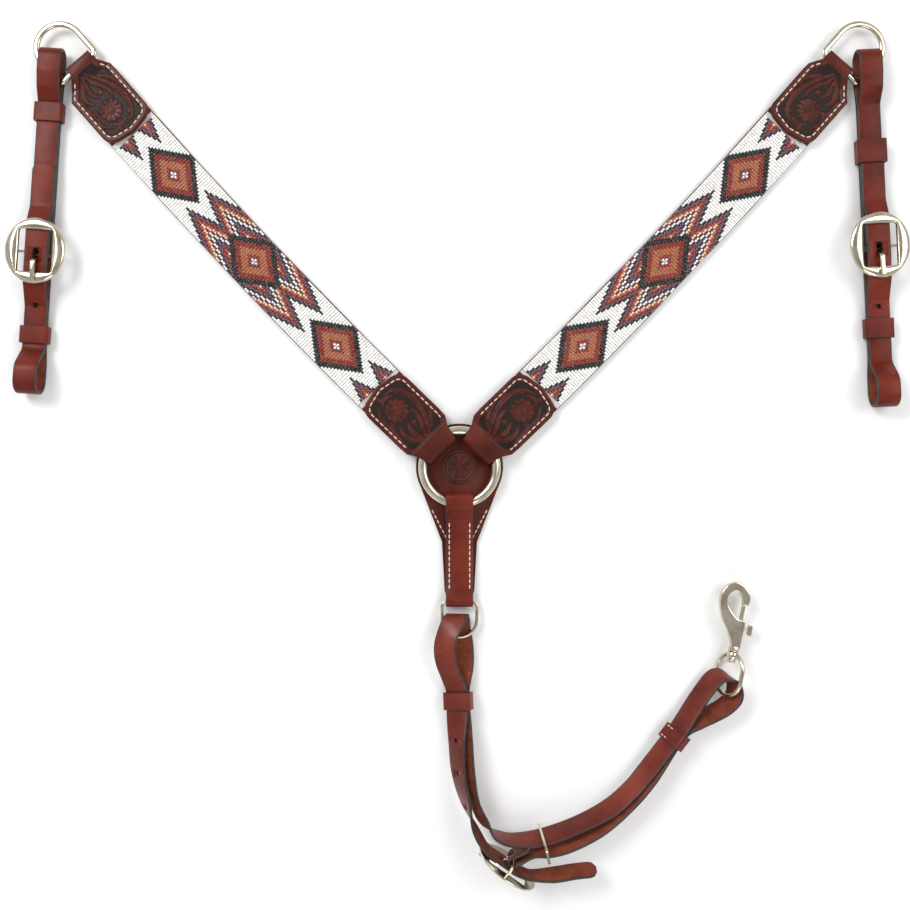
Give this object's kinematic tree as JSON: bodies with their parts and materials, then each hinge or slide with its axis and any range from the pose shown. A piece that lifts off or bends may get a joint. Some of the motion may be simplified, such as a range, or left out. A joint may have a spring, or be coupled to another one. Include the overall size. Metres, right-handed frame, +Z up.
{
  "type": "breastplate",
  "caption": "Western beaded breast collar: two beaded shoulder straps on a centre ring, buckled tugs, and a belly strap ending in a bolt snap.",
  "frame": {"origin": "centre of the centre ring, on the plane the collar lies on", "axes": "+Z up out of the front of the collar, +Y towards the withers end along the line of symmetry of the shoulder straps, +X to the viewer's right"},
  "size_m": [0.7374, 0.7073, 0.0487],
  "materials": {
    "harness_leather": "smooth oiled red-brown leather with dark burnished edges",
    "strap_leather": "smooth red-brown leather",
    "tooled_leather": "carved floral tooling on a dark matted ground",
    "beads": "opaque loomed seed beads",
    "nickel": "bright nickel plate",
    "spring_steel": "bare spring wire"
  },
  "bodies": {
    "drop": {"ring_shield": "strap_leather", "drop_strap": "harness_leather"},
    "ring": {"center_ring": "nickel"},
    "lower_dee": {"lower_dee": "nickel"},
    "left_shoulder": {"left_strap": "strap_leather", "left_bead_panel": "beads", "left_lower_cap": "tooled_leather", "left_upper_cap": "tooled_leather"},
    "left_dee": {"left_dee": "nickel"},
    "left_tug": {"left_tug_strap": "harness_leather", "left_buckle_frame": "nickel", "left_wire_keeper": "nickel"},
    "left_tongue": {"left_buckle_tongue": "nickel"},
    "left_upper_keeper": {"left_upper_keeper": "harness_leather"},
    "left_lower_keeper": {"left_lower_keeper": "harness_leather"},
    "right_shoulder": {"right_strap": "strap_leather", "right_bead_panel": "beads", "right_lower_cap": "tooled_leather", "right_upper_cap": "tooled_leather"},
    "right_dee": {"right_dee": "nickel"},
    "right_tug": {"right_tug_strap": "harness_leather", "right_buckle_frame": "nickel", "right_wire_keeper": "nickel"},
    "right_tongue": {"right_buckle_tongue": "nickel"},
    "right_upper_keeper": {"right_upper_keeper": "harness_leather"},
    "right_lower_keeper": {"right_lower_keeper": "harness_leather"},
    "belly_strap": {"belly_strap": "harness_leather", "belly_buckle_frame": "nickel", "belly_wire_keeper": "nickel"},
    "belly_tongue": {"belly_buckle_tongue": "nickel"},
    "belly_upper_keeper": {"belly_upper_keeper": "harness_leather"},
    "belly_end_keeper": {"belly_end_keeper": "harness_leather"},
    "snap_eye": {"snap_eye": "nickel"},
    "snap_hook": {"snap_hook": "nickel", "snap_spring": "spring_steel"},
    "snap_bolt": {"snap_bolt": "nickel"}
  },
  "joints": [
    {"name": "ring_turn", "type": "hinge", "parent": "drop", "child": "ring", "pos_m": [0, 0, 0.01], "axis": [0, 0, 1], "continuous": true},
    {"name": "left_shoulder_swing", "type": "hinge", "parent": "drop", "child": "left_shoulder", "pos_m": [0, 0, 0.01], "axis": [0, 0, 1], "range_deg": [-8, 30]},
    {"name": "left_dee_tilt", "type": "hinge", "parent": "left_shoulder", "child": "left_dee", "pos_m": [-0.31339, 0.3278, 0.0086], "axis": [0.7503, 0.661, 0], "range_deg": [-8, 8]},
    {"name": "left_tug_swing", "type": "hinge", "parent": "left_dee", "child": "left_tug", "pos_m": [-0.32827, 0.34468, 0.0086], "axis": [0, 0, 1], "range_deg": [-50, 0]},
    {"name": "left_tongue_lift", "type": "hinge", "parent": "left_tug", "child": "left_tongue", "pos_m": [-0.34537, 0.17635, 0.0105], "axis": [-0.9979, 0.0645, 0], "range_deg": [0, 30]},
    {"name": "left_upper_keeper_slide", "type": "slide", "parent": "left_tug", "child": "left_upper_keeper", "axis": [-0.0645, -0.9979, 0], "range_m": [-0.001, 0.01]},
    {"name": "left_lower_keeper_slide", "type": "slide", "parent": "left_tug", "child": "left_lower_keeper", "axis": [-0.0645, -0.9979, 0], "range_m": [-0.008, 0.001]},
    {"name": "right_shoulder_swing", "type": "hinge", "parent": "drop", "child": "right_shoulder", "pos_m": [0, 0, 0.01], "axis": [0, 0, 1], "range_deg": [-30, 8]},
    {"name": "right_dee_tilt", "type": "hinge", "parent": "right_shoulder", "child": "right_dee", "pos_m": [0.31339, 0.3278, 0.0086], "axis": [0.7503, -0.661, 0], "range_deg": [-8, 8]},
    {"name": "right_tug_swing", "type": "hinge", "parent": "right_dee", "child": "right_tug", "pos_m": [0.32827, 0.34468, 0.0086], "axis": [0, 0, 1], "range_deg": [0, 50]},
    {"name": "right_tongue_lift", "type": "hinge", "parent": "right_tug", "child": "right_tongue", "pos_m": [0.34213, 0.18118, 0.0105], "axis": [-0.9989, -0.0471, 0], "range_deg": [0, 30]},
    {"name": "right_upper_keeper_slide", "type": "slide", "parent": "right_tug", "child": "right_upper_keeper", "axis": [0.0471, -0.9989, 0], "range_m": [-0.011, 0.006]},
    {"name": "right_lower_keeper_slide", "type": "slide", "parent": "right_tug", "child": "right_lower_keeper", "axis": [0.0471, -0.9989, 0], "range_m": [-0.006, 0.01]},
    {"name": "lower_dee_lift", "type": "hinge", "parent": "drop", "child": "lower_dee", "pos_m": [0, -0.111, 0.00705], "axis": [-1, 0, 0], "range_deg": [0, 40]},
    {"name": "belly_swing", "type": "hinge", "parent": "lower_dee", "child": "belly_strap", "pos_m": [0, -0.1255, 0.00705], "axis": [0, 0, 1], "range_deg": [-8, 8]},
    {"name": "belly_tongue_lift", "type": "hinge", "parent": "belly_strap", "child": "belly_tongue", "pos_m": [0.0432, -0.3164, 0.0249], "axis": [-0.08, -0.116, 0.99], "range_deg": [0, 30]},
    {"name": "belly_upper_keeper_slide", "type": "slide", "parent": "belly_strap", "child": "belly_upper_keeper", "axis": [0.0398, -0.996, 0.0797], "range_m": [-0.0002, 0.001]},
    {"name": "belly_end_keeper_slide", "type": "slide", "parent": "belly_strap", "child": "belly_end_keeper", "axis": [0.6158, 0.786, -0.0551], "range_m": [-0.001, 0.001]},
    {"name": "eye_tilt", "type": "hinge", "parent": "belly_strap", "child": "snap_eye", "pos_m": [0.21731, -0.1866, 0.0124], "axis": [0.5809, -0.113, 0.8061], "range_deg": [-2.5, 2.5]},
    {"name": "hook_swivel", "type": "hinge", "parent": "snap_eye", "child": "snap_hook", "pos_m": [0.2246, -0.1491, 0.0124], "axis": [0.1909, 0.9816, 0], "continuous": true},
    {"name": "bolt_slide", "type": "slide", "parent": "snap_hook", "child": "snap_bolt", "axis": [-0.1909, -0.9816, 0], "range_m": [0, 0.0065], "stiffness_N_per_m": 300, "springref_m": -0.004, "deforming": ["snap_spring"]}
  ]
}
